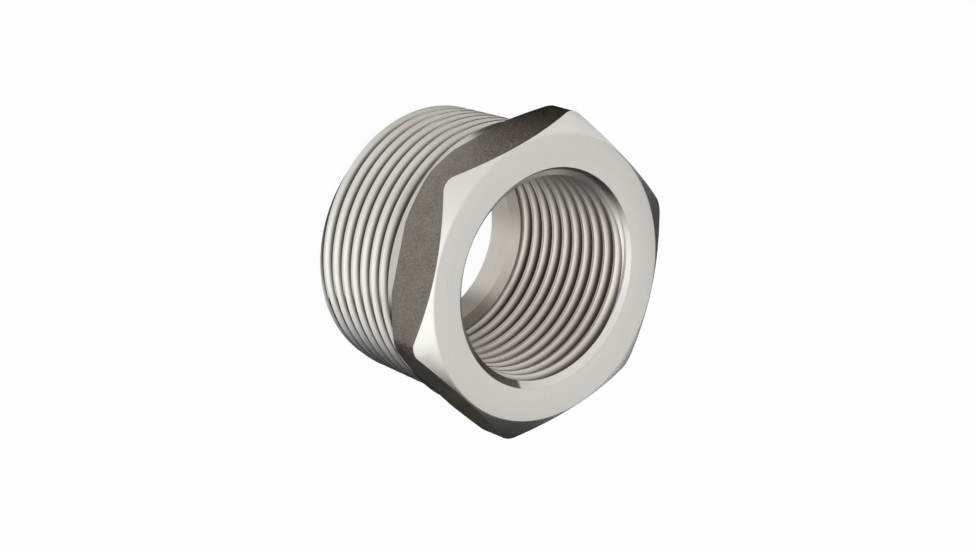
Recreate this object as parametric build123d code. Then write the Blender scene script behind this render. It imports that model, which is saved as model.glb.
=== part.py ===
from build123d import *
import math
import os

# Reducing hexagon bushing, 1 1/4 inch male by 1 inch female pipe thread, turned in one
# piece. The axis is Z. The small end of the male thread stands on Z = 0 and the hexagon
# head is at the top. Sizes are in millimetres.

# ---- driving dimensions -----------------------------------------------------------------

# lengths along the axis
overall_length = 28.7          # small end of the male thread to the face of the head
head_height = 10.3             # face of the head to the back of its collar
collar_length = 1.8            # plain round step behind the hexagon

# hexagon head
across_flats = 43.5
corner_round = 2.6             # radius on the six upright edges
face_inset = 0.25              # rim of the flat face inside the flats of the hexagon
face_chamfer_angle = 30.0      # slope of the corner chamfer, measured from the face
back_reach = 0.6               # rim of the flat back outside the flats of the hexagon
back_chamfer_angle = 45.0      # slope of the corner chamfer, measured from the back
collar_inset = 0.05            # collar below the flats of the hexagon

# pipe thread form, 11 threads to the inch, 55 degrees
pitch = 25.4 / 11
thread_depth = 0.640327 * pitch
flank_angle = 27.5             # slope of each flank from the radial plane
root_flat = pitch / 6          # width of the groove at its root
groove_share = 0.98            # width of the groove section at its widest, in pitches
runout_turn = 0.25             # part of a turn in which a groove fades out
runout_rise = 0.3              # how far past the crests it has risen by then

# male thread, tapered 1 in 16 on the diameter
taper = 1 / 16
gauge_diameter = 41.910        # over the crests at the gauge plane
gauge_length = 12.7            # small end to the gauge plane
end_chamfer = 0.4              # leg of the lead-in at the small end
relief_width = 0.8             # undercut between the last crest and the collar
relief_depth = 0.15            # undercut below the roots of the thread
male_stop = 0.1                # last full groove short of the collar
male_start_angle = 181.4       # where the groove crosses the plane of the small end

# female thread, parallel: its helix is left to the visual model, so the bore here is the
# hole as bored for threading, at the diameter of the crests
female_major_diameter = 33.249
female_length = 22.9           # face to the start of the narrowing
mouth_diameter = 33.3          # countersink where the bore meets the face
mouth_angle = 45.0             # slope of the countersink, measured from the axis

# plain bore below the female thread: it narrows to a throat and leaves at the small end
throat_diameter = 27.0
throat_length = 2.6            # small end to the end of the narrowing

# ---- values that follow from them ---------------------------------------------------------

cone_slope = taper / 2                                   # growth of the radius along Z
cone_angle = math.degrees(math.atan(cone_slope))
flank_slope = math.tan(math.radians(flank_angle))
thread_top = overall_length - head_height
hex_bottom = thread_top + collar_length
corner_radius = across_flats / 2 / math.cos(math.radians(30))
collar_radius = across_flats / 2 - collar_inset
face_radius = across_flats / 2 - face_inset
face_drop = (corner_radius - face_radius) * math.tan(math.radians(face_chamfer_angle))
back_radius = across_flats / 2 + back_reach
back_rise = (corner_radius - back_radius) * math.tan(math.radians(back_chamfer_angle))
minor_radius = female_major_diameter / 2 - thread_depth
throat_radius = throat_diameter / 2
mouth_radius = mouth_diameter / 2
mouth_slope = math.tan(math.radians(mouth_angle))
mouth_depth = (mouth_radius - minor_radius) / mouth_slope
bore_end = overall_length - female_length
runout_height = runout_turn * pitch
runout_angle = math.degrees(math.atan((thread_depth + runout_rise) / runout_height))
spare = 2 * pitch                                        # stock trimmed off after threading
past = 1.0                                               # how far a cutter leaves the metal


def crest_radius(z):
    """Radius over the crests of the male thread at height z."""
    return gauge_diameter / 2 + (z - gauge_length) * cone_slope


def turned(*outline):
    """Solid of revolution about Z from a closed outline of (radius, height) points."""
    return revolve(make_face(Plane.XZ * Polyline(*outline, close=True)), Axis.Z)


def groove(root_radius, z_start, z_end, outward, slope_angle, start_angle):
    """Solid of one helical groove that starts at start_angle and climbs to z_end.

    The root of its section lies on the helix. outward is 1 for a groove that opens away
    from the axis and -1 for one that opens towards it.
    """
    height = z_end - z_start
    helix = Helix(pitch, height, root_radius, center=(0, 0, z_start), cone_angle=slope_angle)
    root_half = root_flat / 2
    open_half = groove_share * pitch / 2
    open_radius = root_radius + outward * (open_half - root_half) / flank_slope
    section = Polyline(
        (root_radius, 0, z_start - root_half),
        (open_radius, 0, z_start - open_half),
        (open_radius, 0, z_start + open_half),
        (root_radius, 0, z_start + root_half),
        close=True,
    )
    return Rot(0, 0, start_angle) * sweep(make_face(section), path=helix, is_frenet=True)


def head():
    """Hexagon with its corners turned off, on a round collar."""
    outline = turned(
        (0, thread_top),
        (collar_radius, thread_top),
        (collar_radius, hex_bottom),
        (back_radius, hex_bottom),
        (corner_radius, hex_bottom + back_rise),
        (corner_radius, overall_length - face_drop),
        (face_radius, overall_length),
        (0, overall_length),
    )
    hexagon = RegularPolygon(across_flats / 2, 6, major_radius=False)
    bar = extrude(fillet(hexagon.vertices(), corner_round), overall_length)
    return outline & bar


def shank():
    """Tapered male thread with its run-out, undercut and lead-in."""
    stock = turned(
        (0, -spare),
        (crest_radius(-spare), -spare),
        (crest_radius(thread_top), thread_top),
        (0, thread_top),
    )
    stop = thread_top - pitch / 2 - male_stop
    stop_angle = male_start_angle + 360 * stop / pitch
    stock -= groove(
        crest_radius(-pitch) - thread_depth, -pitch, stop, 1, cone_angle, male_start_angle
    )
    stock -= groove(
        crest_radius(stop) - thread_depth, stop, stop + runout_height, 1, runout_angle, stop_angle
    )
    # undercut against the collar
    relief_low = thread_top - relief_width
    relief_radius = crest_radius(relief_low) - thread_depth - relief_depth
    outside = crest_radius(thread_top) + past
    stock -= turned(
        (relief_radius, relief_low),
        (outside, relief_low),
        (outside, thread_top + past),
        (relief_radius, thread_top + past),
    )
    # spare stock below the small end, then the lead-in
    stock -= turned((0, -spare - past), (outside, -spare - past), (outside, 0), (0, 0))
    lead_radius = crest_radius(0) - end_chamfer
    stock -= turned(
        (lead_radius - past, -past),
        (outside, -past),
        (outside, outside - lead_radius),
    )
    return stock


def bore():
    """Countersink, bore for the female thread, narrowing and throat."""
    return turned(
        (0, -past),
        (throat_radius, -past),
        (throat_radius, throat_length),
        (minor_radius, bore_end),
        (minor_radius, overall_length - mouth_depth),
        (mouth_radius + past * mouth_slope, overall_length + past),
        (0, overall_length + past),
    )


bushing = head() + shank() - bore()

os.makedirs("parts", exist_ok=True)
export_step(bushing, "parts/hex_bushing.step")
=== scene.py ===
import math

import bmesh
import bpy
from mathutils import Matrix, Vector


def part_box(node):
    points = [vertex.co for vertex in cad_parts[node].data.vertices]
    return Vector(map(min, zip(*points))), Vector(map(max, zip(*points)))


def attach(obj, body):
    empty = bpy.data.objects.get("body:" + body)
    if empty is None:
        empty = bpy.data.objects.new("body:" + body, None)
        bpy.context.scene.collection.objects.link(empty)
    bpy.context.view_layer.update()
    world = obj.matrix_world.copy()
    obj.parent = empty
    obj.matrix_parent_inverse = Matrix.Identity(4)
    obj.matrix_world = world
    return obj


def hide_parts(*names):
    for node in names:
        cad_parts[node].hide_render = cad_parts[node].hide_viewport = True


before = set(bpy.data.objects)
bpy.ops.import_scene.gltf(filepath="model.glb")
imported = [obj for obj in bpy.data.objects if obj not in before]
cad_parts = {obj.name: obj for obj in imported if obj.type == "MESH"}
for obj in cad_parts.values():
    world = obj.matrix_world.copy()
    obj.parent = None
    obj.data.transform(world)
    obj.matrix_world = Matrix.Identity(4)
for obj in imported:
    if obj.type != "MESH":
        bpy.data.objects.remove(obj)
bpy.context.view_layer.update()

bl_info = {
    "name": "Reducing hexagon bushing",
    "version": (1, 0, 0),
    "blender": (4, 5, 0),
    "location": "3D View > Sidebar > Bushing",
    "description": "Models a reducing hexagon bushing with both pipe threads, and its studio",
    "category": "Object",
}

# The axis of the bushing is Z. The small end of the male thread stands on Z = 0 and the
# face of the hexagon head is at the top. Everything is in metres.

MM = 0.001
NODE = "hex_bushing"
LOW, HIGH = (Vector(corner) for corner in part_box(NODE))

# thread form
PITCH = 25.4 * MM / 11            # both threads have 11 turns to the inch
THREAD_DEPTH = 0.640327 * PITCH
ROOT_FLAT = PITCH / 6             # width of the groove at its root
TAPER = 1 / 32                    # growth of the male thread's radius with height
RELIEF_DEPTH = 0.15 * MM          # undercut below the roots of the male thread
MALE_FADE = 0.25                  # part of a turn in which the male groove fades out
FEMALE_FADE = 0.6                 # the same at the end of the female groove
NEVER = 99.0                      # a turn number that no groove reaches

# modelling allowances
PAST = 1 * MM                     # how far a cutter leaves the metal
BEYOND = 3 * MM                   # how far the thread's cutters reach outside it
SPARE = 0.5 * MM                  # blank of the head outside the corners of the hexagon
INSIDE = 0.02 * MM                # bore cutter inside the crests of the female thread
SAME_POINT = 1e-7                 # vertices this close are one while a solid is made
SLIVER = 1e-6                     # edges this short go from the finished body
ON_AXIS = 1e-6                    # a vertex this close to the axis is on it
EDGE_STEPS = 3                    # divisions of the rounding on turned edges
RIM_STEPS = 2                     # divisions of the worn rim
CORNER_STEPS = 8                  # divisions of each round upright edge
HALF_CORNER = math.radians(30)    # half the angle between two flats of the hexagon
SMOOTH_BELOW = math.radians(24)   # edges flatter than this are shaded smooth

# zones of the turned surface
PAST_WALL = 0.4 * MM              # outside starts this far past the middle of the wall
PAST_ROOTS = 0.1 * MM             # the bore ends this far past the roots of its thread
PAST_COLLAR = 0.3 * MM            # the collar's painted shade reaches this far over it
IN_MOUTH = 0.04 * MM              # the countersink's painted shade ends this far inside its rim
UNDER_FACE = 0.02 * MM            # the face starts this far below its shallow cut

# painted shade, darker stretches of the surface: angles round the axis in degrees, between
# which each stretch fades in or out
MALE_ROOT_SHADE = (0.22, 0.70)          # threads: shares of their depth
FEMALE_ROOT_SHADE = (0.14, 0.72)
MOUTH_LOW = (-62, -35)            # countersink, first stretch: fades in
MOUTH_LOW_END = (-5, -2)          # and out
MOUTH_LOW_DEPTH = 0.55 * MM       # how far down the bore that stretch reaches
MOUTH_HIGH = (126, 150)           # countersink, second stretch, the same on both sides
MOUTH_HIGH_BAND = (0.75 * MM, 0.4 * MM)   # where it fades in, inside the rim
MOUTH_SHARE = 0.95
BORE_LOW = (-40, -10)             # smooth bore, dark side: fades in
BORE_LOW_END = (44, 66)           # and out
BORE_HIGH = (92, 118)             # smooth bore, the side that is a little dark
BORE_HIGH_SHARE = 0.6
THREAD_SHADE_SIDE = (118, 150)          # painted shade on one side of the male thread, the same on both sides
COLLAR_SHARE = 0.7
CORNER_END = (-184, -146)         # where the painted shade on one corner of the hexagon fades out

# grain and rings of the steel
RING_SCALE = 9000.0               # rings left by the tool, per metre
BAND_SCALE = 1300.0               # broader bands of tone
BAND_TONE = (0.93, 1.05)          # brightness from the bands
SPECKLE_TONE = (-0.05, 0.05)      # and added by the speckle
ROUGH_SPREAD = (-0.05, 0.05)      # roughness added by the bands
ROUGH_DEEP = 0.15                 # and by the painted shade
SPECKLE_HEIGHT = 0.4              # speckle beside the rings, as a share of their height
TURNED_BUMP = 0.012 * MM          # height of the rings
BLASTED_BUMP = 0.05 * MM          # height of the grain on the flats
BLASTED_STRENGTH = 0.8
BLASTED_SPREAD = 0.1              # roughness above and below that of the flats
BLASTED_METAL = 0.85
MOTTLE_PALE, SPECKLE_PALE = 0.22, 0.72    # shares of the pale grain on the flats

# sockets of a Mix node that mixes colours
COLOUR_A, COLOUR_B, MIXED = 6, 7, 2

# studio
FLOOR_SIZE = 4.0
CARD_STEPS = 32
# Black cards that only reflections show: name, their inner and outer ends as (radius,
# height), and the sides that they start and end at, in degrees. Three stand and three lie.
FOOT = 0.3 * MM
FAR = 150 * MM
CARDS = (
    ("back_card", (FAR, FOOT), (FAR, 110 * MM), 84, 114),
    ("low_card", (FAR, FOOT), (FAR, 165 * MM), -10, 54),
    ("low_foot", (20.3 * MM, FOOT), (FAR, FOOT), -58, 56),
    ("back_foot", (20.3 * MM, FOOT), (FAR, FOOT), 56, 114),
    ("side_foot", (26 * MM, FOOT), (FAR, FOOT), 128, 188),
    ("side_card", (FAR, FOOT), (FAR, 40 * MM), 128, 180),
)


# ---- sizes and colours that a user would change -------------------------------------------


def length(name, description, default):
    """A length property, in metres."""
    return bpy.props.FloatProperty(
        name=name, description=description, default=default, min=0.0, unit="LENGTH", precision=5
    )


def angle(name, description, degrees):
    """An angle property, given in degrees and held in radians."""
    return bpy.props.FloatProperty(
        name=name, description=description, default=math.radians(degrees), subtype="ANGLE"
    )


def colour(name, description, default):
    """A linear colour property."""
    return bpy.props.FloatVectorProperty(
        name=name, description=description, default=default, size=3, min=0.0, max=1.0,
        subtype="COLOR",
    )


def share(name, description, default):
    """A factor from 0 to 1."""
    return bpy.props.FloatProperty(
        name=name, description=description, default=default, min=0.0, max=1.0, subtype="FACTOR"
    )


class BushingSizes(bpy.types.PropertyGroup):
    """Sizes of the bushing."""

    across_flats: length("Across flats", "Width of the hexagon", HIGH.y - LOW.y)
    overall: length("Overall length", "Small end to the face of the head", HIGH.z)
    head: length("Head", "Face to the back of the collar", 10.3 * MM)
    collar: length("Collar", "Length of the round collar behind the hexagon", 1.8 * MM)
    collar_inset: length("Collar inset", "Collar below the flats", 0.05 * MM)
    face_radius: length("Face radius", "Flat ring inside the corner chamfer", 21.5 * MM)
    face_slope: angle("Face chamfer", "Slope of the corner chamfer from the face", 30)
    back_radius: length("Back radius", "Start of the corner chamfer on the back", 22.35 * MM)
    back_slope: angle("Back chamfer", "Slope of the back chamfer from the back", 45)
    edge_round: length("Edge rounding", "Radius left on the turned edges", 0.12 * MM)
    corner_round: length("Corner rounding", "Radius on the upright edges", 2.6 * MM)
    rim_round: length("Rim rounding", "Worn edge between the flats and the chamfers", 0.09 * MM)
    gauge_radius: length("Gauge radius", "Over the male crests at the gauge plane", 20.955 * MM)
    gauge_length: length("Gauge length", "Small end to the gauge plane", 12.7 * MM)
    male_stop: length("Male stop", "Last full groove short of the collar", 0.1 * MM)
    male_relief: length("Male undercut", "Width of the undercut by the collar", 0.8 * MM)
    end_chamfer: length("Lead-in", "Leg of the lead-in at the small end", 0.4 * MM)
    male_start: angle("Male start", "Where the groove crosses the small end", 181.4)
    major_radius: length("Major radius", "Root of the female thread", 16.6245 * MM)
    mouth_radius: length("Mouth radius", "Countersink where it meets the face", 16.65 * MM)
    rim_radius: length("Rim radius", "Shallow cut round the countersink", 17.5 * MM)
    rim_depth: length("Rim depth", "Depth of that cut at the countersink", 0.1 * MM)
    female_length: length("Female length", "Face to the shoulder below the thread", 23.7 * MM)
    female_start: angle("Female start", "Where the groove crosses the face", 284.5)
    throat_radius: length("Throat radius", "Opening at the small end", 13.5 * MM)
    throat_length: length("Throat length", "Straight part of the throat", 4.35 * MM)
    crest_flat: length("Crest flat", "Flat on each crest before rounding", 0.385 * MM)
    crest_round: length("Crest rounding", "Radius left on the crests", 0.1 * MM)
    turn_steps: bpy.props.IntProperty(
        name="Steps per turn", description="Divisions of each turn", default=180, min=24
    )


class BushingFinish(bpy.types.PropertyGroup):
    """Colours and finish of the bushing, and the tints of its painted shade."""

    steel: colour("Machined steel", "Colour of the turned surfaces", (0.69, 0.68, 0.65))
    # painted shade: the whole bore a little darker and warmer
    bore_painted_shade: colour("Bore tint", "Tint of the duller steel in the bore", (0.86, 0.835, 0.79))
    # painted shade on the darkest side of the smooth bore
    bore_shade: colour("Bore shade", "Tint of the darkest side of the bore", (0.42, 0.40, 0.36))
    # painted shade on one side of the male thread and on the collar
    thread_painted_shade: colour(
        "Thread tint", "Tint of the dull side of the thread and collar", (0.80, 0.785, 0.74)
    )
    # painted shade: the face a little darker
    face_painted_shade: colour("Face tint", "Tint of the duller steel of the face", (0.90, 0.898, 0.885))
    # painted shade: dark colour deep in the threads and on two stretches of the countersink
    root: colour("Thread root", "Colour deep in the threads", (0.115, 0.099, 0.078))
    flats: colour("Flats", "Colour of the unmachined flats", (0.11, 0.098, 0.075))
    flats_pale: colour(
        "Flats, pale", "Colour of the worn grain on the flats", (0.33, 0.30, 0.25)
    )
    # painted shade on one corner of the flats
    corner_painted_shade: colour("Corner tint", "Tint of the flats' darkest corner", (0.36, 0.34, 0.28))
    turned_rough: share("Turned roughness", "Roughness of the turned surfaces", 0.34)
    flats_rough: share("Flats roughness", "Roughness of the flats", 0.45)


class BushingStudio(bpy.types.PropertyGroup):
    """Camera and light."""

    aim: bpy.props.FloatVectorProperty(
        name="Aim", description="Point the camera looks at", size=3, subtype="TRANSLATION",
        default=(2.46 * MM, 0.37 * MM, 15.49 * MM), precision=5,
    )
    distance: length("Distance", "Camera to the aim", 418.3 * MM)
    azimuth: angle("Azimuth", "Side that the camera stands on", -101.194)
    elevation: angle("Elevation", "Height of the camera over the aim", 46.815)
    roll: angle("Roll", "Turn of the camera about its view", -109.379)
    lens: bpy.props.FloatProperty(
        name="Lens", description="Focal length", default=103.14, min=1.0, unit="CAMERA"
    )
    floor: colour("Floor", "Colour of the floor", (0.9, 0.9, 0.9))
    floor_glow: share("Floor glow", "Share of the floor that reads as plain white", 0.95)
    fill: share("Fill", "Light from the surroundings", 0.88)
    key_glow: bpy.props.FloatProperty(
        name="Key glow", description="Brightness of the soft light overhead", default=0.65,
        min=0.0,
    )
    key_way: bpy.props.FloatVectorProperty(
        name="Key direction", description="Way from the part to the soft light", size=3,
        subtype="DIRECTION", default=(0.30, -0.28, 0.9),
    )
    key_reach: length("Key distance", "Part to the soft light", 0.6)
    key_size: length("Key size", "Diameter of the soft light", 0.55)


# ---- modelling helpers --------------------------------------------------------------------


def deselect():
    """Goes to object mode and leaves nothing selected."""
    if bpy.context.mode != "OBJECT":
        bpy.ops.object.mode_set(mode="OBJECT")
    bpy.ops.object.select_all(action="DESELECT")


def activate(piece):
    """Selects the piece alone and makes it active, for an operator to act on."""
    deselect()
    piece.select_set(True)
    bpy.context.view_layer.objects.active = piece


def edit(piece, kind="VERT"):
    """Opens the piece in edit mode with everything selected."""
    activate(piece)
    bpy.ops.object.mode_set(mode="EDIT")
    bpy.ops.mesh.select_mode(type=kind)
    bpy.ops.mesh.select_all(action="SELECT")


def close_edit():
    """Goes back to object mode."""
    bpy.ops.object.mode_set(mode="OBJECT")


def apply(piece, modifier):
    """Applies one modifier."""
    activate(piece)
    bpy.ops.object.modifier_apply(modifier=modifier.name)


def outline_piece(name, points, closed, rounding, sharp_within):
    """A chain of edges in the XZ plane from (radius, height) points, its corners rounded.

    Corners within sharp_within of the axis stay sharp, and so do the ends of an open chain.
    """
    deselect()
    bpy.ops.mesh.primitive_plane_add(size=1.0)
    piece = bpy.context.object
    piece.name = name
    edit(piece)
    bpy.ops.mesh.delete(type="VERT")
    mesh = bmesh.from_edit_mesh(piece.data)
    verts = [mesh.verts.new((r, 0.0, z)) for r, z in points]
    for a, b in zip(verts, verts[1:] + (verts[:1] if closed else [])):
        mesh.edges.new((a, b))
    bmesh.update_edit_mesh(piece.data)
    if rounding:
        mesh = bmesh.from_edit_mesh(piece.data)
        mesh.verts.ensure_lookup_table()
        for index, vert in enumerate(mesh.verts):
            at_end = not closed and index in (0, len(points) - 1)
            vert.select = vert.co.x > sharp_within and not at_end
        bmesh.update_edit_mesh(piece.data)
        bpy.ops.mesh.bevel(
            offset=rounding, offset_type="OFFSET", segments=EDGE_STEPS, affect="VERTICES",
            clamp_overlap=True,
        )
    close_edit()
    return piece


def spin_round(piece, steps):
    """Turns an outline once about the axis and closes the result."""
    edit(piece)
    bpy.ops.mesh.spin(
        steps=steps, angle=2 * math.pi, center=(0, 0, 0), axis=(0, 0, 1), use_auto_merge=True
    )
    bpy.ops.mesh.select_all(action="SELECT")
    bpy.ops.mesh.remove_doubles(threshold=SAME_POINT)
    bpy.ops.mesh.normals_make_consistent(inside=False)
    close_edit()


def spin_solid(name, points, rounding, steps):
    """A turned solid: the outline runs from the axis round to the axis."""
    piece = outline_piece(name, points, False, rounding, ON_AXIS)
    spin_round(piece, steps)
    return piece


def spin_ring(name, points, steps):
    """A turned ring from a closed outline."""
    piece = outline_piece(name, points, True, 0.0, 0.0)
    spin_round(piece, steps)
    return piece


def combine(piece, other, operation):
    """Adds, cuts or intersects another solid, which is used up."""
    modifier = piece.modifiers.new(operation.lower(), "BOOLEAN")
    modifier.operation = operation
    modifier.solver = "MANIFOLD"
    modifier.object = other
    apply(piece, modifier)
    bpy.data.objects.remove(other)


def threaded_rod(name, top_radius, root_radius, low, turns, start, sizes):
    """A tube with a helical groove: top_radius between grooves, root_radius in them.

    It starts at height low. The middle of the groove crosses height 0 at the angle start.
    """
    half_flat = sizes.crest_flat / 2
    root_half = ROOT_FLAT / 2
    points = [
        (top_radius, 0.0),
        (top_radius, half_flat),
        (root_radius, PITCH / 2 - root_half),
        (root_radius, PITCH / 2 + root_half),
        (top_radius, PITCH - half_flat),
        (top_radius, PITCH),
    ]
    piece = outline_piece(name, points, False, sizes.crest_round, 0.0)
    screw = piece.modifiers.new("screw", "SCREW")
    screw.axis = "Z"
    screw.angle = 2 * math.pi
    screw.screw_offset = PITCH
    screw.iterations = turns
    screw.steps = sizes.turn_steps
    screw.render_steps = sizes.turn_steps
    screw.use_merge_vertices = True
    screw.merge_threshold = SAME_POINT
    apply(piece, screw)
    # the middle of the groove is half a pitch above the start of the outline
    turn = start + 2 * math.pi * (low + PITCH / 2) / PITCH
    piece.data.transform(Matrix.Translation((0, 0, low)) @ Matrix.Rotation(turn, 4, "Z"))
    edit(piece)
    bpy.ops.mesh.remove_doubles(threshold=SAME_POINT)
    close_edit()
    return piece


def close_ends(piece, reach):
    """Draws each open end of a tube to a point on the axis, reach beyond it."""
    for end in (-1, 1):
        edit(piece, "EDGE")
        bpy.ops.mesh.select_all(action="DESELECT")
        mesh = bmesh.from_edit_mesh(piece.data)
        heights = [v.co.z for v in mesh.verts]
        middle = (min(heights) + max(heights)) / 2
        limit = max(heights) if end > 0 else min(heights)
        for edge in mesh.edges:
            near = (edge.verts[0].co.z - middle) * end > 0
            edge.select = edge.is_boundary and near
        bmesh.update_edit_mesh(piece.data)
        bpy.ops.mesh.extrude_edges_move()
        mesh = bmesh.from_edit_mesh(piece.data)
        for vert in mesh.verts:
            if vert.select:
                vert.co = (0.0, 0.0, limit + end * reach)
        bmesh.update_edit_mesh(piece.data)
        bpy.ops.mesh.remove_doubles(threshold=SAME_POINT)
        close_edit()
    edit(piece)
    bpy.ops.mesh.normals_make_consistent(inside=False)
    close_edit()


# ---- the bushing --------------------------------------------------------------------------


def crest_radius(sizes, height):
    """Radius over the male crests at a height."""
    return sizes.gauge_radius + (height - sizes.gauge_length) * TAPER


def fade_groove(piece, top, start, first, last, over):
    """Fades the groove out towards the radius top over part of a turn.

    Turns are counted from where the groove crosses height 0 at the angle start. It keeps its
    depth from the turn first to the turn last.
    """
    for vert in piece.data.vertices:
        x, y, z = vert.co
        radius = math.hypot(x, y)
        if radius < ON_AXIS:
            continue
        turn = ((math.atan2(y, x) - start) / (2 * math.pi)) % 1.0
        # the turn of the groove that this vertex is nearest
        count = turn + round(z / PITCH - turn)
        keep = 1.0
        if count > last:
            keep = max(0.0, 1.0 - (count - last) / over)
        if count < first:
            keep = max(0.0, 1.0 - (first - count) / over)
        if keep < 1.0:
            grown = top + (radius - top) * keep
            vert.co = (x * grown / radius, y * grown / radius, z)


def male_thread(sizes):
    """The tapered male thread with its undercut and lead-in, reaching into the head."""
    top = sizes.overall - sizes.head
    base = crest_radius(sizes, 0.0)
    # two spare turns at each end
    low = -2 * PITCH
    turns = math.ceil((top - low) / PITCH) + 2
    piece = threaded_rod(
        "male_thread", base, base - THREAD_DEPTH, low, turns, sizes.male_start, sizes
    )
    stop = (top - PITCH / 2 - sizes.male_stop) / PITCH
    fade_groove(piece, base, sizes.male_start, -NEVER, stop, MALE_FADE)
    close_ends(piece, PITCH)
    # the straight rod is made a taper
    for vert in piece.data.vertices:
        radius = math.hypot(vert.co.x, vert.co.y)
        if radius > ON_AXIS:
            grown = radius + vert.co.z * TAPER
            vert.co.x *= grown / radius
            vert.co.y *= grown / radius
    # cut square at both ends, with the lead-in
    lead = base - sizes.end_chamfer
    envelope = spin_solid(
        "envelope",
        [
            (0.0, 0.0),
            (lead, 0.0),
            (lead + BEYOND, BEYOND),
            (lead + BEYOND, top + PITCH / 2),
            (0.0, top + PITCH / 2),
        ],
        0.0, sizes.turn_steps,
    )
    combine(piece, envelope, "INTERSECT")
    relief_low = top - sizes.male_relief
    relief_radius = crest_radius(sizes, relief_low) - THREAD_DEPTH - RELIEF_DEPTH
    undercut = spin_ring(
        "undercut",
        [
            (relief_radius, relief_low),
            (base + BEYOND, relief_low),
            (base + BEYOND, top + PITCH),
            (relief_radius, top + PITCH),
        ],
        sizes.turn_steps,
    )
    combine(piece, undercut, "DIFFERENCE")
    return piece


def hexagon_head(sizes):
    """The chamfered hexagon on its round collar."""
    top = sizes.overall
    back = top - sizes.head
    hex_low = back + sizes.collar
    half = sizes.across_flats / 2
    corner = half / math.cos(HALF_CORNER) + SPARE
    collar = half - sizes.collar_inset
    piece = spin_solid(
        "head",
        [
            (0.0, back),
            (collar, back),
            (collar, hex_low),
            (sizes.back_radius, hex_low),
            (corner, hex_low + (corner - sizes.back_radius) * math.tan(sizes.back_slope)),
            (corner, top - (corner - sizes.face_radius) * math.tan(sizes.face_slope)),
            (sizes.face_radius, top),
            (0.0, top),
        ],
        sizes.edge_round, sizes.turn_steps,
    )
    # a hexagonal bar that reaches past the head at both ends
    deselect()
    bpy.ops.mesh.primitive_cylinder_add(
        vertices=6, radius=half / math.cos(HALF_CORNER), depth=4 * sizes.head,
        location=(0, 0, top), rotation=(0, 0, HALF_CORNER),
    )
    prism = bpy.context.object
    bpy.ops.object.transform_apply(location=True, rotation=True, scale=True)
    # its upright edges are round
    edit(prism, "EDGE")
    bpy.ops.mesh.select_all(action="DESELECT")
    mesh = bmesh.from_edit_mesh(prism.data)
    for edge in mesh.edges:
        a, b = edge.verts
        edge.select = abs(a.co.z - b.co.z) > sizes.head
    bmesh.update_edit_mesh(prism.data)
    bpy.ops.mesh.bevel(
        offset=sizes.corner_round * math.tan(HALF_CORNER), segments=CORNER_STEPS,
        affect="EDGES",
    )
    close_edit()
    combine(piece, prism, "INTERSECT")
    return piece


def wear_rim(piece, sizes):
    """Rounds the edges where the chamfers of the head meet its upright faces."""
    upright, sloping = 0.02, 0.3
    above = 0.05 * MM
    outermost = 21 * MM
    edit(piece, "EDGE")
    bpy.ops.mesh.select_all(action="DESELECT")
    mesh = bmesh.from_edit_mesh(piece.data)
    low = sizes.overall - sizes.head + sizes.collar + above
    for edge in mesh.edges:
        if len(edge.link_faces) != 2 or min(v.co.z for v in edge.verts) < low:
            continue
        tilts = sorted(abs(face.normal.z) for face in edge.link_faces)
        reach = min(math.hypot(v.co.x, v.co.y) for v in edge.verts)
        edge.select = tilts[0] < upright and tilts[1] > sloping and reach > outermost
    bmesh.update_edit_mesh(piece.data)
    bpy.ops.mesh.bevel(
        offset=sizes.rim_round, segments=RIM_STEPS, affect="EDGES", clamp_overlap=True
    )
    close_edit()


def bore_cutter(sizes):
    """Rim, countersink, bore inside the female crests, narrowing and throat."""
    top = sizes.overall
    inside = sizes.major_radius - THREAD_DEPTH - INSIDE
    sink = top - sizes.rim_depth
    return spin_solid(
        "bore",
        [
            (0.0, -PAST),
            (sizes.throat_radius, -PAST),
            (sizes.throat_radius, sizes.throat_length),
            (inside, top - sizes.female_length),
            (inside, sink - (sizes.mouth_radius - inside)),
            (sizes.mouth_radius, sink),
            (sizes.rim_radius, top),
            (sizes.rim_radius + sizes.rim_depth, top + PAST),
            (0.0, top + PAST),
        ],
        0.0, sizes.turn_steps,
    )


def female_tap(sizes):
    """The solid that the female thread leaves free."""
    minor = sizes.major_radius - THREAD_DEPTH
    end = sizes.overall - sizes.female_length
    low = end - FEMALE_FADE * PITCH
    turns = math.ceil((sizes.overall - low) / PITCH) + 1
    start = sizes.female_start - 2 * math.pi * sizes.overall / PITCH
    piece = threaded_rod("tap", minor, sizes.major_radius, low, turns, start, sizes)
    fade_groove(piece, minor, start, end / PITCH, NEVER, FEMALE_FADE)
    close_ends(piece, PITCH / 2)
    return piece


# ---- materials ----------------------------------------------------------------------------


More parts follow.
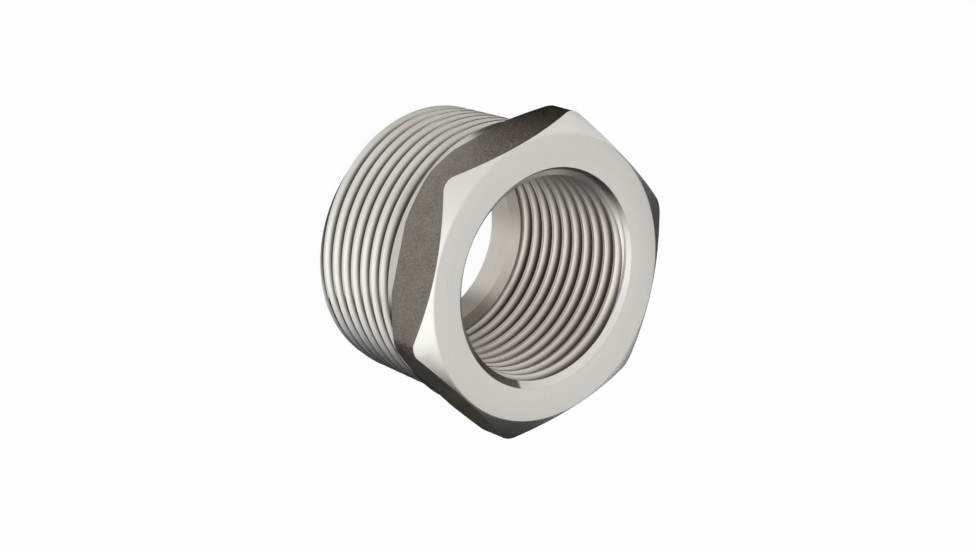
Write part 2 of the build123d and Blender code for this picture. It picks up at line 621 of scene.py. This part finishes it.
class Graph:
    """Short calls for adding nodes to one node tree."""

    def __init__(self, tree):
        self.nodes = tree.nodes
        self.links = tree.links

    def plug(self, value, socket):
        """Links an output to a socket, or sets the socket to a number."""
        if isinstance(value, bpy.types.NodeSocket):
            self.links.new(value, socket)
        else:
            socket.default_value = value

    def math(self, operation, *values, clamp=False):
        """The result of a Math node."""
        node = self.nodes.new("ShaderNodeMath")
        node.operation = operation
        node.use_clamp = clamp
        for value, socket in zip(values, node.inputs):
            self.plug(value, socket)
        return node.outputs[0]

    def times(self, product, *others):
        """The product of all the values."""
        for value in others:
            product = self.math("MULTIPLY", product, value)
        return product

    def below(self, value, limit):
        """1 where the value is below the limit, otherwise 0."""
        return self.math("LESS_THAN", value, limit)

    def above(self, value, limit):
        """1 where the value is above the limit, otherwise 0."""
        return self.math("GREATER_THAN", value, limit)

    def inverse(self, value):
        """1 less the value."""
        return self.math("SUBTRACT", 1.0, value)

    def ramp(self, value, low, high, smooth=True):
        """0 below low and 1 above high."""
        node = self.nodes.new("ShaderNodeMapRange")
        node.interpolation_type = "SMOOTHSTEP" if smooth else "LINEAR"
        self.plug(value, node.inputs["Value"])
        self.plug(low, node.inputs["From Min"])
        self.plug(high, node.inputs["From Max"])
        return node.outputs["Result"]

    def turn(self, side, low, high):
        """A ramp over an angle, between two angles in degrees."""
        return self.ramp(side, math.radians(low), math.radians(high))

    def scaled(self, value, low, high):
        """Spreads a 0 to 1 value from low to high."""
        node = self.nodes.new("ShaderNodeMapRange")
        self.plug(value, node.inputs["Value"])
        self.plug(low, node.inputs["To Min"])
        self.plug(high, node.inputs["To Max"])
        return node.outputs["Result"]

    def mix(self, factor, a, b, blend="MIX"):
        """Colour a, blended with colour b as far as the factor says."""
        node = self.nodes.new("ShaderNodeMix")
        node.data_type = "RGBA"
        node.blend_type = blend
        self.plug(factor, node.inputs["Factor"])
        self.plug(a, node.inputs[COLOUR_A])
        self.plug(b, node.inputs[COLOUR_B])
        return node.outputs[MIXED]

    def tint(self, factor, value, tint):
        """A colour multiplied by a tint as far as the factor says."""
        return self.mix(factor, value, (*tint, 1.0), "MULTIPLY")

    def noise(self, vector, scale, detail, roughness):
        """Noise from 0 to 1."""
        node = self.nodes.new("ShaderNodeTexNoise")
        self.plug(vector, node.inputs["Vector"])
        node.inputs["Scale"].default_value = scale
        node.inputs["Detail"].default_value = detail
        node.inputs["Roughness"].default_value = roughness
        return node.outputs["Fac"]

    def xyz(self, x, y, z):
        """A vector from its parts."""
        node = self.nodes.new("ShaderNodeCombineXYZ")
        for value, socket in zip((x, y, z), node.inputs):
            self.plug(value, socket)
        return node.outputs[0]

    def bump(self, height, distance, strength=1.0):
        """Normals of a surface raised by a 0 to 1 height."""
        node = self.nodes.new("ShaderNodeBump")
        self.plug(height, node.inputs["Height"])
        node.inputs["Distance"].default_value = distance
        node.inputs["Strength"].default_value = strength
        return node.outputs["Normal"]

    def polar(self):
        """Radius from the axis, height and angle round the axis, in the object."""
        split = self.nodes.new("ShaderNodeSeparateXYZ")
        self.plug(self.nodes.new("ShaderNodeTexCoord").outputs["Object"], split.inputs[0])
        x, y, z = split.outputs
        squares = self.math("ADD", self.times(x, x), self.times(y, y))
        return self.math("SQRT", squares), z, self.math("ARCTAN2", y, x)


def new_group(name, inputs, outputs):
    """An empty shader node group with float sockets in and out."""
    tree = bpy.data.node_groups.new(name, "ShaderNodeTree")
    for label, default in inputs:
        socket = tree.interface.new_socket(label, in_out="INPUT", socket_type="NodeSocketFloat")
        socket.default_value = default
    for label in outputs:
        tree.interface.new_socket(label, in_out="OUTPUT", socket_type="NodeSocketFloat")
    return tree, tree.nodes.new("NodeGroupInput"), tree.nodes.new("NodeGroupOutput")


def grain_group():
    """Speckled grain: a broad mottle and a fine speckle, in metres of the object."""
    tree, inside, outside = new_group(
        "grain", [("Mottle size", 2.0 * MM), ("Speckle size", 0.25 * MM)], ["Mottle", "Speckle"]
    )
    graph = Graph(tree)
    place = tree.nodes.new("ShaderNodeTexCoord").outputs["Object"]
    for index, label in enumerate(("Mottle", "Speckle")):
        scale = tree.nodes.new("ShaderNodeVectorMath")
        scale.operation = "SCALE"
        graph.plug(place, scale.inputs[0])
        graph.plug(graph.math("DIVIDE", 1.0, inside.outputs[index]), scale.inputs["Scale"])
        value = graph.noise(scale.outputs[0], 1.0, detail=3.0, roughness=0.6)
        graph.plug(graph.ramp(value, 0.3, 0.7, smooth=False), outside.inputs[label])
    return tree


def place_grain(graph, tree, mottle_size, speckle_size):
    """Places the grain and gives its mottle and its speckle."""
    node = graph.nodes.new("ShaderNodeGroup")
    node.node_tree = tree
    node.inputs["Mottle size"].default_value = mottle_size
    node.inputs["Speckle size"].default_value = speckle_size
    return node.outputs["Mottle"], node.outputs["Speckle"]


def new_material(name):
    """A material with its shader and output in place."""
    material = bpy.data.materials.new(name)
    material.use_nodes = True
    nodes = material.node_tree.nodes
    nodes.clear()
    output = nodes.new("ShaderNodeOutputMaterial")
    shader = nodes.new("ShaderNodeBsdfPrincipled")
    material.node_tree.links.new(shader.outputs[0], output.inputs[0])
    return material, Graph(material.node_tree), shader


class Zones:
    """Where a point of the turned surface lies, and masks that are 1 inside their zone."""

    def __init__(self, graph, sizes):
        back = sizes.overall - sizes.head
        self.radius, self.z, self.side = graph.polar()
        self.minor = sizes.major_radius - THREAD_DEPTH
        # height at which the countersink meets the bore
        self.sink = sizes.overall - sizes.rim_depth - (sizes.mouth_radius - self.minor)
        wall = (self.minor + crest_radius(sizes, 0.0)) / 2
        self.outside = graph.above(self.radius, wall + PAST_WALL)
        self.shank = graph.below(self.z, back)
        self.collar = graph.times(
            graph.below(self.z, back + sizes.collar + PAST_COLLAR), graph.inverse(self.shank)
        )
        self.bore = graph.times(
            graph.below(self.radius, sizes.major_radius + PAST_ROOTS),
            graph.below(self.z, self.sink),
        )
        self.smooth_bore = graph.times(
            self.bore, graph.below(self.z, sizes.overall - sizes.female_length)
        )
        self.mouth = graph.below(self.radius, sizes.mouth_radius - IN_MOUTH)
        self.face = graph.above(self.z, sizes.overall - sizes.rim_depth - UNDER_FACE)


def depth_ramp(graph, top, bottom, shares):
    """Fades in between two shares of the thread's depth, measured from top to bottom."""
    depth = graph.math("SUBTRACT", top, bottom)
    return graph.ramp(graph.math("DIVIDE", depth, THREAD_DEPTH), *shares)


def painted_shade_share(graph, sizes, zones):
    """Share of the painted shade: deep in both threads and along parts of the countersink."""
    crest = graph.math("ADD", crest_radius(sizes, 0.0), graph.times(zones.z, TAPER))
    male = graph.times(
        zones.shank, zones.outside, depth_ramp(graph, crest, zones.radius, MALE_ROOT_SHADE)
    )
    female = graph.times(
        zones.bore, depth_ramp(graph, zones.radius, zones.minor, FEMALE_ROOT_SHADE)
    )
    low = graph.times(
        graph.turn(zones.side, *MOUTH_LOW),
        graph.inverse(graph.turn(zones.side, *MOUTH_LOW_END)),
        graph.above(zones.z, zones.sink - MOUTH_LOW_DEPTH),
    )
    band = (sizes.mouth_radius - inset for inset in MOUTH_HIGH_BAND)
    high = graph.times(
        graph.turn(graph.math("ABSOLUTE", zones.side), *MOUTH_HIGH),
        graph.ramp(zones.radius, *band),
    )
    mouth = graph.times(zones.mouth, graph.math("MAXIMUM", low, high), MOUTH_SHARE)
    return graph.math("MAXIMUM", graph.math("MAXIMUM", male, female), mouth)


def steel_colour(graph, finish, zones, tone):
    """The turned steel outside the painted root shade, with painted shade on bore, thread,
    collar and face.
    """
    steel = graph.mix(tone, (0, 0, 0, 1), (*finish.steel, 1.0))
    # painted shade: the bore a little darker and warmer
    steel = graph.tint(zones.bore, steel, finish.bore_painted_shade)
    # painted shade: the smooth bore darkens towards one side, and a little towards another
    low = graph.times(
        graph.inverse(graph.turn(zones.side, *BORE_LOW_END)),
        graph.turn(zones.side, *BORE_LOW),
    )
    high = graph.times(graph.turn(zones.side, *BORE_HIGH), BORE_HIGH_SHARE)
    dark = graph.times(zones.smooth_bore, graph.math("MAXIMUM", low, high))
    steel = graph.tint(dark, steel, finish.bore_shade)
    # painted shade: one side of the male thread is a little darker, and so is the collar
    side = graph.turn(graph.math("ABSOLUTE", zones.side), *THREAD_SHADE_SIDE)
    darkened = graph.math(
        "ADD", graph.times(side, zones.shank), graph.times(zones.collar, COLLAR_SHARE)
    )
    steel = graph.tint(graph.times(darkened, zones.outside), steel, finish.thread_painted_shade)
    # painted shade: the face a little darker
    return graph.tint(zones.face, steel, finish.face_painted_shade)


def machined_material(sizes, finish, grain):
    """Turned stainless steel: fine rings from the tool, and painted shade deep in the threads
    and in other places.
    """
    material, graph, shader = new_material("turned_steel")
    zones = Zones(graph, sizes)
    deep = painted_shade_share(graph, sizes, zones)
    _, speckle = place_grain(graph, grain, mottle_size=3.0 * MM, speckle_size=0.16 * MM)
    # rings left by the tool, thin across the face and along the bore
    across = graph.xyz(zones.radius, zones.z, 0.0)
    rings = graph.noise(across, RING_SCALE, detail=2.0, roughness=0.7)
    bands = graph.noise(across, BAND_SCALE, detail=2.0, roughness=0.6)
    tone = graph.math(
        "ADD", graph.scaled(bands, *BAND_TONE), graph.scaled(speckle, *SPECKLE_TONE)
    )
    steel = steel_colour(graph, finish, zones, tone)
    # painted shade: the dark root colour deep in the threads and on two stretches of the
    # countersink
    graph.plug(graph.mix(deep, steel, (*finish.root, 1.0)), shader.inputs["Base Color"])
    shader.inputs["Metallic"].default_value = 1.0
    rough = graph.math("ADD", finish.turned_rough, graph.scaled(bands, *ROUGH_SPREAD))
    rough = graph.math("ADD", rough, graph.times(deep, ROUGH_DEEP))
    graph.plug(rough, shader.inputs["Roughness"])
    height = graph.math("ADD", rings, graph.times(speckle, SPECKLE_HEIGHT))
    graph.plug(graph.bump(height, TURNED_BUMP), shader.inputs["Normal"])
    return material


def flats_material(finish, grain):
    """Dark, blasted, unmachined steel with a speckled grain and painted shade on one corner."""
    material, graph, shader = new_material("blasted_flats")
    mottle, speckle = place_grain(graph, grain, mottle_size=2.2 * MM, speckle_size=0.34 * MM)
    pale = graph.math(
        "ADD", graph.times(mottle, MOTTLE_PALE), graph.times(speckle, SPECKLE_PALE), clamp=True
    )
    steel = graph.mix(pale, (*finish.flats, 1.0), (*finish.flats_pale, 1.0))
    # painted shade: one corner of the hexagon is nearly black
    _, _, side = graph.polar()
    corner = graph.times(
        graph.inverse(graph.turn(side, *CORNER_END)), graph.below(side, 0.0)
    )
    steel = graph.tint(corner, steel, finish.corner_painted_shade)
    graph.plug(steel, shader.inputs["Base Color"])
    shader.inputs["Metallic"].default_value = BLASTED_METAL
    rough = graph.scaled(
        speckle, finish.flats_rough - BLASTED_SPREAD, finish.flats_rough + BLASTED_SPREAD
    )
    graph.plug(rough, shader.inputs["Roughness"])
    graph.plug(graph.bump(speckle, BLASTED_BUMP, BLASTED_STRENGTH), shader.inputs["Normal"])
    return material


# ---- studio -------------------------------------------------------------------------------


def seen_white(graph):
    """1 for rays that see the backdrop: from the camera, off metal or through glass."""
    path = graph.nodes.new("ShaderNodeLightPath")
    seen = graph.math("ADD", path.outputs["Is Camera Ray"], path.outputs["Is Glossy Ray"])
    return graph.math("ADD", seen, path.outputs["Is Transmission Ray"], clamp=True)


def floor_material(studio):
    """Pale floor that reads as white and still takes a faint shadow."""
    material = bpy.data.materials.new("floor_white")
    material.use_nodes = True
    graph = Graph(material.node_tree)
    graph.nodes.clear()
    output = graph.nodes.new("ShaderNodeOutputMaterial")
    diffuse = graph.nodes.new("ShaderNodeBsdfDiffuse")
    diffuse.inputs["Color"].default_value = (*studio.floor, 1.0)
    glow = graph.nodes.new("ShaderNodeEmission")
    mix = graph.nodes.new("ShaderNodeMixShader")
    graph.plug(graph.math("MULTIPLY", seen_white(graph), studio.floor_glow), mix.inputs[0])
    graph.plug(diffuse.outputs[0], mix.inputs[1])
    graph.plug(glow.outputs[0], mix.inputs[2])
    graph.plug(mix.outputs[0], output.inputs[0])
    return material


def backdrop_world(scene, studio):
    """White surroundings, a little lower for the light they give off."""
    world = bpy.data.worlds.new("studio")
    scene.world = world
    world.use_nodes = True
    graph = Graph(world.node_tree)
    background = graph.nodes["Background"]
    background.inputs["Color"].default_value = (1, 1, 1, 1)
    graph.plug(graph.scaled(seen_white(graph), studio.fill, 1.0), background.inputs["Strength"])


def card_material():
    """Black without any shine."""
    material, _, shader = new_material("black_card")
    shader.inputs["Base Color"].default_value = (0.01, 0.01, 0.01, 1.0)
    shader.inputs["Roughness"].default_value = 1.0
    shader.inputs["Specular IOR Level"].default_value = 0.0
    return material


def black_card(name, points, start, end, material):
    """A card turned about the axis from start to end, which only reflections show."""
    card = outline_piece(name, points, False, 0.0, 0.0)
    edit(card)
    # both operators turn the other way for a positive angle
    bpy.ops.transform.rotate(value=-start, orient_axis="Z", center_override=(0, 0, 0))
    bpy.ops.mesh.spin(steps=CARD_STEPS, angle=start - end, center=(0, 0, 0), axis=(0, 0, 1))
    close_edit()
    card.data.materials.append(material)
    card.visible_camera = False
    card.visible_diffuse = False
    card.visible_shadow = False


def soft_light(studio):
    """A disc of light over the part."""
    way = Vector(studio.key_way).normalized()
    deselect()
    bpy.ops.object.light_add(type="AREA", location=way * studio.key_reach)
    lamp = bpy.context.object
    lamp.name = "key_light"
    lamp.data.shape = "DISK"
    lamp.data.size = studio.key_size
    # the glow of the disc itself, as bright as a surface of that value
    lamp.data.energy = studio.key_glow * math.pi**2 * studio.key_size**2 / 4
    lamp.rotation_mode = "QUATERNION"
    lamp.rotation_quaternion = way.to_track_quat("Z", "Y")


def set_camera(scene, studio):
    """Puts the camera round the aim by azimuth, elevation, roll and distance."""
    toward = Vector((
        math.cos(studio.azimuth) * math.cos(studio.elevation),
        math.sin(studio.azimuth) * math.cos(studio.elevation),
        math.sin(studio.elevation),
    ))
    data = bpy.data.cameras.new("camera")
    data.lens = studio.lens
    data.clip_start = 10 * MM
    camera = bpy.data.objects.new("camera", data)
    scene.collection.objects.link(camera)
    camera.rotation_mode = "QUATERNION"
    level = (-toward).to_track_quat("-Z", "Y")
    turn = Matrix.Rotation(studio.roll, 3, -toward).to_quaternion()
    camera.rotation_quaternion = turn @ level
    camera.location = Vector(studio.aim) + toward * studio.distance
    scene.camera = camera


# ---- operators ----------------------------------------------------------------------------


def blast_flats(piece, sizes):
    """Gives the upright faces of the hexagon, round edges among them, the blasted finish."""
    slope = 0.05
    slack = 0.01 * MM
    collar = sizes.across_flats / 2 - sizes.collar_inset
    # the middle of a facet of the collar lies inside its circle
    inside = collar * math.cos(math.pi / sizes.turn_steps) - slack
    low = sizes.overall - sizes.head + sizes.collar - 2 * slack
    for face in piece.data.polygons:
        upright = abs(face.normal.z) < slope
        outside = math.hypot(face.center.x, face.center.y) > inside
        face.material_index = int(upright and outside and face.center.z > low)


class BUSHING_OT_body(bpy.types.Operator):
    """Models the bushing: head, male thread, bore and female thread as one piece"""

    bl_idname = "bushing.body"
    bl_label = "Hexagon bushing"

    def execute(self, context):
        sizes = context.scene.bushing_sizes
        finish = context.scene.bushing_finish
        piece = hexagon_head(sizes)
        combine(piece, male_thread(sizes), "UNION")
        combine(piece, bore_cutter(sizes), "DIFFERENCE")
        combine(piece, female_tap(sizes), "DIFFERENCE")
        piece.name = "hex_bushing_turned"
        edit(piece)
        bpy.ops.mesh.remove_doubles(threshold=SLIVER)
        bpy.ops.mesh.dissolve_degenerate(threshold=SLIVER)
        close_edit()
        wear_rim(piece, sizes)
        if not piece.data.polygons:
            raise RuntimeError("the bushing came out empty")
        piece.data.materials.clear()
        grain = grain_group()
        piece.data.materials.append(machined_material(sizes, finish, grain))
        piece.data.materials.append(flats_material(finish, grain))
        blast_flats(piece, sizes)
        activate(piece)
        bpy.ops.object.shade_smooth_by_angle(angle=SMOOTH_BELOW)
        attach(piece, "root")
        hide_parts(NODE)
        return {"FINISHED"}


class BUSHING_OT_studio(bpy.types.Operator):
    """Sets the floor, the soft light, the black cards round the part and the camera"""

    bl_idname = "bushing.studio"
    bl_label = "Studio"

    def execute(self, context):
        studio = context.scene.bushing_studio
        scene = context.scene
        scene.view_settings.view_transform = "Standard"
        deselect()
        bpy.ops.mesh.primitive_plane_add(size=FLOOR_SIZE, location=(0, 0, 0))
        floor = context.object
        floor.name = "floor"
        floor.data.materials.append(floor_material(studio))
        backdrop_world(scene, studio)
        black = card_material()
        for name, inner, outer, start, end in CARDS:
            black_card(name, (inner, outer), math.radians(start), math.radians(end), black)
        soft_light(studio)
        set_camera(scene, studio)
        return {"FINISHED"}


class BUSHING_PT_panel(bpy.types.Panel):
    """Lists the steps that build the bushing and its studio"""

    bl_label = "Hexagon bushing"
    bl_idname = "BUSHING_PT_panel"
    bl_space_type = "VIEW_3D"
    bl_region_type = "UI"
    bl_category = "Bushing"

    def draw(self, context):
        layout = self.layout
        for step in (BUSHING_OT_body, BUSHING_OT_studio):
            layout.operator(step.bl_idname)


CLASSES = (
    BushingSizes, BushingFinish, BushingStudio, BUSHING_OT_body, BUSHING_OT_studio,
    BUSHING_PT_panel,
)


def register():
    for cls in CLASSES:
        bpy.utils.register_class(cls)
    bpy.types.Scene.bushing_sizes = bpy.props.PointerProperty(type=BushingSizes)
    bpy.types.Scene.bushing_finish = bpy.props.PointerProperty(type=BushingFinish)
    bpy.types.Scene.bushing_studio = bpy.props.PointerProperty(type=BushingStudio)


def unregister():
    del bpy.types.Scene.bushing_studio
    del bpy.types.Scene.bushing_finish
    del bpy.types.Scene.bushing_sizes
    for cls in reversed(CLASSES):
        bpy.utils.unregister_class(cls)


def main():
    """Builds the bushing and its studio."""
    register()
    bpy.ops.bushing.body()
    bpy.ops.bushing.studio()


if __name__ == "__main__":
    main()
